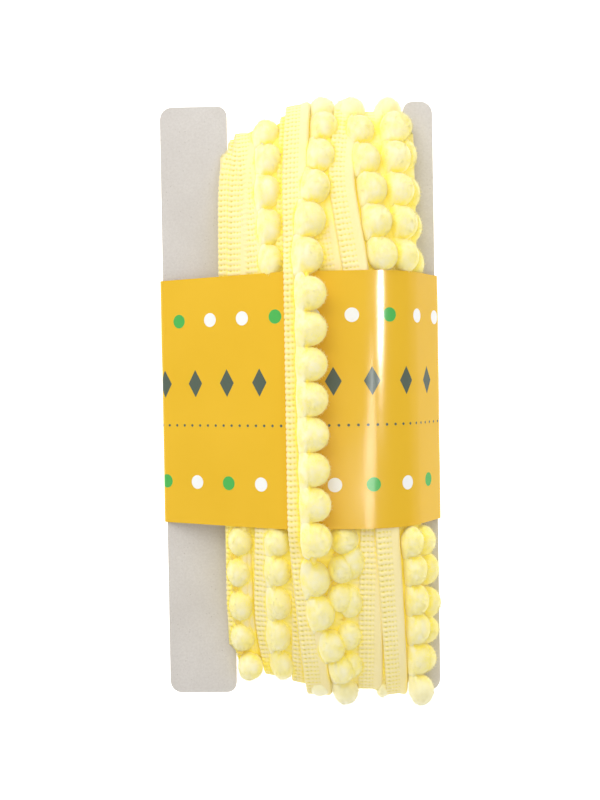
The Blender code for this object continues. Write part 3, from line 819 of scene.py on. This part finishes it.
def tie(centre, before, axes, chance):
    """A small frayed tuft on the left between two pompoms, where the yarn is tied."""
    directions, faces = ball(2)
    aside = chance.uniform(*TIE_ASIDE)
    height = chance.uniform(*TIE_HEIGHT)
    middle = (centre + before) / 2 + np.array([aside, 0.0, height]) @ axes
    ragged = 1.0 + layered(directions, TIE_WAVES, chance)
    tuft = middle + (directions * ragged[:, None] * TIE_SIZE) @ axes
    out = unit(chance.normal(size=(TIE_HAIRS, 3)) + np.array([0.0, 0.0, 0.8]))
    tips = out * TIE_SIZE + out * chance.uniform(*TIE_HAIR_LENGTH, size=(TIE_HAIRS, 1))
    # The tuft and its hairs carry full painted shade, deeper yellow, as they sit in the crease between two
    # pompoms.
    return [(tuft, faces, np.ones(len(tuft))), hairs(out * TIE_SIZE, tips, middle, axes, 1.0, chance)]


def build_pompoms(name, rows, subdivisions, hair_count, chance):
    """One piece of several rows of pompoms, each with its fine hairs standing off it."""
    directions, faces = ball(subdivisions)
    skin = len(directions)
    parts = []
    for row in rows:
        places = [row.before] + [spot[0] for spot in row.placed] + [row.after]
        for index, (centre, axes, size) in enumerate(row.placed):
            beside = [place for place in (places[index], places[index + 2]) if place is not None]
            neighbours = [(place - centre) @ axes.T / size for place in beside]
            out = unit(chance.normal(size=(hair_count, 3)) + np.array(HAIR_SIDE))
            both = np.concatenate([directions, out])
            local = pompom_points(both, chance, size, neighbours, row.roll)
            parts.append((centre + local[:skin] @ axes, faces, np.zeros(skin)))
            lean = unit(out + HAIR_LEAN * chance.normal(size=(hair_count, 3)))
            tips = local[skin:] + lean * chance.uniform(*HAIR_LENGTH, size=(hair_count, 1))
            parts.append(hairs(local[skin:], tips, centre, axes, 0.0, chance))
            if index and not row.roll:
                parts.extend(tie(centre, places[index], axes, chance))
    return joined(name, parts)


def build_all_pompoms(chance):
    """The four pieces of pompoms, with the last turn's row running on over the band."""
    upper = [column_pompoms(column, 1) for column in UPPER_COLUMNS.values()]
    lower = [column_pompoms(column, -1) for column in LOWER_COLUMNS.values()]
    over_band = band_pompoms()
    first, last = over_band.placed[0][0], over_band.placed[-1][0]
    over_band = over_band._replace(before=upper[-1].placed[0][0], after=lower[-1].placed[0][0])
    upper[-1] = upper[-1]._replace(before=first)
    lower[-1] = lower[-1]._replace(before=last)
    kept = [spot[0] for row in upper + lower + [over_band] for spot in row.placed]
    behind = behind_pompoms(kept)
    return [
        build_pompoms("pompoms_upper", upper, 4, 800, chance),
        build_pompoms("pompoms_lower", lower, 4, 800, chance),
        build_pompoms("pompoms_on_band", [over_band], 5, 900, chance),
        build_pompoms("pompoms_behind", behind, 4, 150, chance),
    ]


# ---- the band ----
def resampled(points, spacing):
    """A closed outline resampled evenly, with the distance along it of each point."""
    closed = np.vstack([points, points[:1]])
    travel = running(spans(closed))
    count = int(travel[-1] / spacing)
    at = np.arange(count) * travel[-1] / count
    return np.stack([np.interp(at, travel, closed[:, 0]), np.interp(at, travel, closed[:, 1])], axis=-1), at


def build_band(finish, chance):
    """The sleeve of thin paper, drawn a little uneven."""
    outline, at = resampled(np.array(belt(band_circles(), BAND_SPACE - PAPER_CLEAR)), PAPER_SPACING)
    ahead = np.roll(outline, -1, axis=0) - np.roll(outline, 1, axis=0)
    outward = unit(np.stack([-ahead[:, 1], ahead[:, 0]], axis=-1))
    rows = np.linspace(-BAND_HALF, BAND_HALF, PAPER_ROWS)
    top = int(np.argmax(np.where(np.abs(outline[:, 0]) < 1.0, outline[:, 1], -99.0)))
    length = at[-1] + at[1]
    around = at - at[top]
    around = np.where(around > length / 2, around - length, around)
    around = np.where(around < -length / 2, around + length, around)
    count = len(around)
    flat = np.stack(np.meshgrid(around, rows), axis=-1).reshape(-1, 2)
    sheet = np.column_stack([flat, np.zeros(len(flat))])
    ripple = np.clip(layered(sheet, RIPPLES, chance).reshape(len(rows), count), *RIPPLE_LIMIT)
    outer = outline[None, :, :] + outward[None, :, :] * ripple[..., None]
    inner = outer - outward[None, :, :] * PAPER_THICKNESS
    depth = np.repeat(rows[:, None], count, axis=1)[..., None]
    verts = []
    for wall in (outer, inner):
        wall = np.concatenate([wall[..., :1], depth, CARD_Z + wall[..., 1:]], axis=-1)
        verts.append(wall.reshape(-1, 3))
    size = count * len(rows)
    starts = np.arange(len(rows)) * count
    turned = [0, 3, 2, 1]
    outside = ring_faces(starts[:-1], starts[1:], count)[:, turned]
    inside = outside[:, ::-1] + size
    low_rim = ring_faces(0, size, count)
    high_rim = ring_faces(starts[-1], size + starts[-1], count)[:, turned]
    faces = np.concatenate([outside, inside, low_rim, high_rim])
    made = add_mesh("paper_band", np.concatenate(verts), faces, finish, "band")
    wrapped = np.tile(flat, (2, 1))[faces].astype(np.float32)
    across_seam = np.ptp(wrapped[:, :, 0], axis=1) > length / 2
    left = wrapped[across_seam, :, 0]
    wrapped[across_seam, :, 0] = np.where(left < 0, left + length, left)
    layer = made.data.uv_layers.new(name="paper")
    layer.data.foreach_set("uv", (wrapped / UV_UNIT).ravel())
    made.data.set_sharp_from_angle(angle=math.radians(50))


# ---- materials ----
PAINTED_HOLLOW_GLOW = (0.95, 0.72, 0.10)  # painted glow in the hollows, standing in for the light that the fibres in a deep place pass on to each other
BLACK = (0.0, 0.0, 0.0)
PRINT_GREEN = (0.085, 0.46, 0.10)
PRINT_WHITE = (0.90, 0.90, 0.88)
PRINT_DARK = (0.10, 0.13, 0.10)
PLY = 0.6 * MM
# The print, in millimetres: rows of marks up the band, and the pitch and the shift of the
# marks round it. The shift keeps their numbers above 0, and half a pitch more lets a row's
# marks stand between those of the next.
MARK_PITCH = 12.4
MARK_SHIFT = 200.0
MARK_SHIFT_BETWEEN = MARK_SHIFT + MARK_PITCH / 2
DISC_ROWS = ((27.0, MARK_SHIFT, 3.0), (-27.0, MARK_SHIFT_BETWEEN, 2.0))  # one in 3, or 2, is green
DISC_RADIUS = 2.3
DIAMOND_ROW = 6.0
DIAMOND_HALF = (2.7, 4.6)
DOT_ROW = -8.0
DOT_PITCH = MARK_PITCH / 4
DOT_RADIUS = 0.45


def new_material(name, **sockets):
    """A material with its shader's own sockets set, its tree and its shader."""
    made = bpy.data.materials.new(name)
    made.use_nodes = True
    tree = made.node_tree
    shader = tree.nodes["Principled BSDF"]
    for key, value in sockets.items():
        shader.inputs[key.replace("_", " ")].default_value = value
    return made, tree, shader


def add_node(tree, kind, settings=None, inputs=None):
    """A node with its settings, and with its inputs set or linked."""
    made = tree.nodes.new(kind)
    for key, value in (settings or {}).items():
        setattr(made, key, value)
    for key, value in (inputs or {}).items():
        if isinstance(value, bpy.types.NodeSocket):
            tree.links.new(value, made.inputs[key])
        else:
            made.inputs[key].default_value = value
    return made


def calc(operation, a, b=0.0, c=0.0):
    """The result of one operation on a socket, and on values or other sockets."""
    return add_node(a.id_data, "ShaderNodeMath", {"operation": operation}, {0: a, 1: b, 2: c}).outputs[0]


def mixed(factor, a, b):
    """Colour b over colour a by a socket; each colour is a socket or three numbers."""
    a, b = [value if isinstance(value, bpy.types.NodeSocket) else (*value, 1.0) for value in (a, b)]
    inputs = {0: factor, 6: a, 7: b}
    return add_node(factor.id_data, "ShaderNodeMix", {"data_type": "RGBA"}, inputs).outputs[2]


def spread(value, low, high, start=0.0, stop=1.0):
    """Maps a value from low..high to start..stop, held at both ends."""
    inputs = {"Value": value, "From Min": low, "From Max": high, "To Min": start, "To Max": stop}
    return add_node(value.id_data, "ShaderNodeMapRange", {"clamp": True}, inputs).outputs[0]


def noise(place, scale, detail=2.0, roughness=0.5):
    """Noise at a place, with a scale to the metre."""
    inputs = {"Vector": place, "Scale": scale, "Detail": detail, "Roughness": roughness}
    return add_node(place.id_data, "ShaderNodeTexNoise", None, inputs).outputs["Fac"]


def object_place(tree):
    """The place on the object, in metres."""
    return add_node(tree, "ShaderNodeTexCoord").outputs["Object"]


def carried(tree, name):
    """A value that the mesh carries at its points."""
    return add_node(tree, "ShaderNodeAttribute", {"attribute_name": name}).outputs["Fac"]


def cover(shader, colour, height, strength, distance):
    """Gives the shader its colour, and a bump from a height."""
    tree = shader.id_data
    tree.links.new(colour, shader.inputs["Base Color"])
    inputs = {"Height": height, "Strength": strength, "Distance": distance}
    tree.links.new(add_node(tree, "ShaderNodeBump", None, inputs).outputs[0], shader.inputs["Normal"])


def yarn_material(name, **sockets):
    """A material for yarn with a painted glow in its hollows, standing in for light passed between fibres,
    with what it carries.
    """
    made, tree, shader = new_material(name, Sheen_Roughness=0.5, **sockets)
    hollow = carried(tree, "hollow")
    tree.links.new(mixed(hollow, BLACK, PAINTED_HOLLOW_GLOW), shader.inputs["Emission Color"])
    return made, tree, shader, hollow, carried(tree, "crease")


def braid_material():
    """Knitted yarn: pale plies with fine fibres, with painted shade, saturated and darker, in its holes,
    hollows and underside, and a painted glow in its hollows.
    """
    # Emission_Strength sets how strong the painted glow in the hollows is.
    made, tree, shader, hollow, crease = yarn_material(
        "yellow_braid", Roughness=0.8, Sheen_Weight=0.25, Specular_IOR_Level=0.25, Emission_Strength=0.09
    )
    place = object_place(tree)
    patchy = spread(noise(place, 90.0, 3.0), 0.3, 0.7)
    ply = spread(noise(place, 1400.0), 0.35, 0.7)
    colour = mixed(patchy, (0.965, 0.820, 0.385), (0.975, 0.845, 0.460))
    colour = mixed(calc("MULTIPLY", ply, 0.3), colour, (0.93, 0.80, 0.28))
    # Painted shade: saturated yellow in the hollows, then saturated and darker olive in the holes, the
    # valleys between rows and the underside, by the crease.
    colour = mixed(hollow, colour, (0.980, 0.830, 0.100))
    colour = mixed(spread(crease, 0.05, 0.5, 0.0, 0.8), colour, (0.95, 0.82, 0.19))
    colour = mixed(spread(crease, 0.5, 1.0, 0.0, 0.8), colour, (0.66, 0.51, 0.09))
    fibres = noise(place, 2600.0, 3.0, 0.6)
    cover(shader, colour, fibres, 0.5, 0.12 * MM)
    return made


def pompom_material():
    """Felted yarn: soft and matt, with painted shade, deeper yellow, in the hollows and on the tied tufts,
    and a painted glow in the hollows.
    """
    # Emission_Strength sets how strong the painted glow in the hollows is.
    made, tree, shader, hollow, tuft_shade = yarn_material(
        "yellow_pompom", Roughness=0.95, Sheen_Weight=1.0, Specular_IOR_Level=0.15, Emission_Strength=0.10
    )
    place = object_place(tree)
    soft = spread(noise(place, 140.0, 3.0), 0.3, 0.7)
    colour = mixed(soft, (0.980, 0.905, 0.500), (0.990, 0.930, 0.590))
    # Painted shade: saturated yellow in the hollows, and deeper on the tied tufts.
    colour = mixed(hollow, colour, (0.985, 0.860, 0.120))
    colour = mixed(tuft_shade, colour, (0.930, 0.700, 0.080))
    lumps = noise(place, 520.0)
    fibres = noise(place, 2400.0, 3.0, 0.65)
    cover(shader, colour, calc("MULTIPLY_ADD", fibres, 0.35, lumps), 0.5, 0.22 * MM)
    return made


def card_material():
    """Greyboard: warm grey, speckled with darker and paler fibres, its plies showing at the cut."""
    made, tree, shader = new_material("greyboard", Roughness=0.9, Specular_IOR_Level=0.2)
    place = object_place(tree)
    cloud = spread(noise(place, 55.0, 4.0), 0.3, 0.7)
    grain = spread(noise(place, 1300.0, 3.0, 0.7), 0.35, 0.65)
    colour = mixed(cloud, (0.640, 0.604, 0.566), (0.690, 0.655, 0.616))
    colour = mixed(calc("MULTIPLY", grain, 0.3), colour, (0.50, 0.455, 0.41))
    cells = {"Vector": place, "Scale": 760.0, "Randomness": 1.0}
    fleck = add_node(tree, "ShaderNodeTexVoronoi", None, cells).outputs["Distance"]
    sparse = spread(noise(place, 260.0), 0.5, 0.6)
    dark = calc("MULTIPLY", sparse, spread(fleck, 0.08, 0.20, 0.45, 0.0))
    colour = mixed(dark, colour, (0.33, 0.28, 0.24))
    normal = add_node(tree, "ShaderNodeNewGeometry").outputs["Normal"]
    upright = add_node(tree, "ShaderNodeSeparateXYZ", None, {0: normal}).outputs[2]
    edge = spread(calc("ABSOLUTE", upright), 0.35, 0.8, 0.75, 0.0)
    height = add_node(tree, "ShaderNodeSeparateXYZ", None, {0: place}).outputs[2]
    plies = calc("SINE", calc("MULTIPLY", height, 2 * math.pi / PLY))
    ply_colour = mixed(spread(plies, -1.0, 1.0), (0.40, 0.36, 0.32), (0.55, 0.50, 0.46))
    colour = mixed(edge, colour, ply_colour)
    cover(shader, colour, grain, 0.25, 0.12 * MM)
    return made


def nearest_mark(around, pitch, shift):
    """Distance round the band from the nearest mark's middle, and the mark's number."""
    moved = calc("DIVIDE", calc("ADD", around, shift), pitch)
    number = calc("FLOOR", moved)
    share = calc("SUBTRACT", calc("SUBTRACT", moved, number), 0.5)
    return calc("MULTIPLY", share, pitch), number


def disc_mask(aside, up, radius):
    """1 inside a disc, by the distances aside and up from its middle."""
    squares = [calc("POWER", calc("ABSOLUTE", away), 2.0) for away in (aside, up)]
    return calc("LESS_THAN", calc("SQRT", calc("ADD", *squares)), radius)


def printed(colour):
    """The paper's colour with its rows of marks over it."""
    flat = add_node(colour.id_data, "ShaderNodeUVMap", {"uv_map": "paper"}).outputs[0]
    split = add_node(colour.id_data, "ShaderNodeSeparateXYZ", None, {0: flat})
    around, along = [calc("MULTIPLY", split.outputs[axis], UV_UNIT) for axis in (0, 1)]
    for row, shift, every in DISC_ROWS:
        aside, number = nearest_mark(around, MARK_PITCH, shift)
        mask = disc_mask(aside, calc("SUBTRACT", along, row), DISC_RADIUS)
        chosen = calc("LESS_THAN", calc("MODULO", number, every), 0.5)
        colour = mixed(mask, colour, mixed(chosen, PRINT_WHITE, PRINT_GREEN))
    aside, _ = nearest_mark(around, DOT_PITCH, MARK_SHIFT)
    mask = disc_mask(aside, calc("SUBTRACT", along, DOT_ROW), DOT_RADIUS)
    colour = mixed(mask, colour, PRINT_DARK)
    aside, _ = nearest_mark(around, MARK_PITCH, MARK_SHIFT_BETWEEN)
    up = calc("SUBTRACT", along, DIAMOND_ROW)
    ways = zip((aside, up), DIAMOND_HALF)
    shares = [calc("DIVIDE", calc("ABSOLUTE", away), half) for away, half in ways]
    inside = calc("LESS_THAN", calc("ADD", *shares), 1.0)
    return mixed(inside, colour, PRINT_DARK)


def paper_material():
    """Satin printed paper: rows of discs, diamonds and dots, evenly spaced round the band."""
    made, tree, shader = new_material("orange_paper", Roughness=0.18, Specular_IOR_Level=0.085)
    place = object_place(tree)
    tint = spread(noise(place, 35.0, 3.0), 0.3, 0.7)
    colour = printed(mixed(tint, (0.800, 0.480, 0.030), (0.830, 0.504, 0.036)))
    mottle = noise(place, 180.0, 3.0, 0.6)
    tree.links.new(spread(mottle, 0.3, 0.7, 0.16, 0.2), shader.inputs["Roughness"])
    cover(shader, colour, noise(place, 900.0), 0.12, 0.06 * MM)
    return made


# ---- the stage, in metres ----
FLOOR_HALF = 3.0
FLOOR_DROP = 0.0002
FLOOR_GLOW = 0.85
SKY = 0.665
LENS = 44.82
CAMERA_PLACE = (0.0092153, 0.0058169, 0.3636)
CAMERA_TURN = (-0.0181, 0.0271, -0.0169)
STRIP_TWIST = math.radians(36.7)
# Lights that only show in reflections, as streaks on the paper: place, size and power.
STRIPS = {
    "strip_high": ((0.375, 0.072, 0.56), (0.082, 0.038), 15.0),
    "strip_low": ((0.150, -0.060, 0.56), (0.20, 0.12), 3.8),
}


def build_floor():
    """A pale floor that gives off some light of its own, just under the band's flat back."""
    mesh = bpy.data.meshes.new("floor")
    corners = [(-1, -1), (1, -1), (1, 1), (-1, 1)]
    mesh.from_pydata([(x * FLOOR_HALF, y * FLOOR_HALF, 0) for x, y in corners], [], [(0, 1, 2, 3)])
    white = (1.0, 1.0, 1.0, 1.0)
    pale = (0.85, 0.85, 0.85, 1.0)
    finish, _, _ = new_material(
        "white_floor", Roughness=0.9, Base_Color=pale, Emission_Color=white, Emission_Strength=FLOOR_GLOW
    )
    mesh.materials.append(finish)
    made = add_object("floor", mesh)
    made.location.z = -FLOOR_DROP


def area_light(name, place, target, size, power, twist=0.0):
    """A rectangular light aimed at a place, turned about its own axis."""
    lamp = bpy.data.lights.new(name, "AREA")
    lamp.shape = "RECTANGLE"
    lamp.size, lamp.size_y = size
    lamp.energy = power
    made = add_object(name, lamp)
    made.location = place
    aim = (Vector(target) - Vector(place)).to_track_quat("-Z", "Y")
    made.rotation_euler = (aim @ Quaternion((0.0, 0.0, 1.0), twist)).to_euler()
    return made


def build_lights():
    """A key light, a fill light that isn't reflected, two streaks and an even sky."""
    area_light("key", (-0.19, 0.43, 0.45), target=(0.0, 0.02, 0.03), size=(0.5, 0.5), power=1.85)
    fill = area_light("fill", (0.12, -0.02, 0.60), target=(0.01, 0.0, 0.03), size=(0.4, 0.4), power=0.38)
    fill.visible_glossy = False
    for name, (place, size, power) in STRIPS.items():
        strip = area_light(name, place, (*place[:2], 0.0), size, power, STRIP_TWIST)
        strip.visible_diffuse = False
    world = bpy.data.worlds.new("studio")
    world.use_nodes = True
    sky = world.node_tree.nodes["Background"]
    sky.inputs["Color"].default_value = (1.0, 1.0, 1.0, 1.0)
    sky.inputs["Strength"].default_value = SKY
    bpy.context.scene.world = world


def build_camera():
    """The camera at the photograph's viewing angle."""
    lens = bpy.data.cameras.new("camera")
    lens.lens = LENS
    made = add_object("camera", lens)
    made.location = CAMERA_PLACE
    made.rotation_euler = Euler(CAMERA_TURN, "XYZ")
    bpy.context.scene.camera = made


def dress_card(finish):
    """The card keeps its solid, with softened edges and its own finish."""
    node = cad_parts["card"]
    node.data.materials.clear()
    node.data.materials.append(finish)
    soften = node.modifiers.new("soften", "BEVEL")
    soften.width = 0.22 * MM
    soften.segments = 2
    soften.limit_method = "ANGLE"


def main():
    """Builds the pieces in the order of their random draws, then dresses and lights them."""
    chance = np.random.default_rng(SEED)
    braids = build_turns(chance) + [build_last_turn(), build_core()]
    pompoms = build_all_pompoms(chance)
    finishes = [braid_material()] * len(braids) + [pompom_material()] * len(pompoms)
    pieces = braids + pompoms
    # Each piece carries its crease and hollow values, which its finish turns into painted shade and a
    # painted glow.
    for piece, finish, hollow in zip(pieces, finishes, hollows(pieces)):
        carries = {"crease": piece.crease, "hollow": hollow}
        add_mesh(piece.name, piece.verts, piece.faces, finish, "trim", carries)
    build_band(paper_material(), chance)
    dress_card(card_material())
    build_floor()
    build_lights()
    build_camera()
    bpy.context.scene.view_settings.view_transform = "Standard"


main()
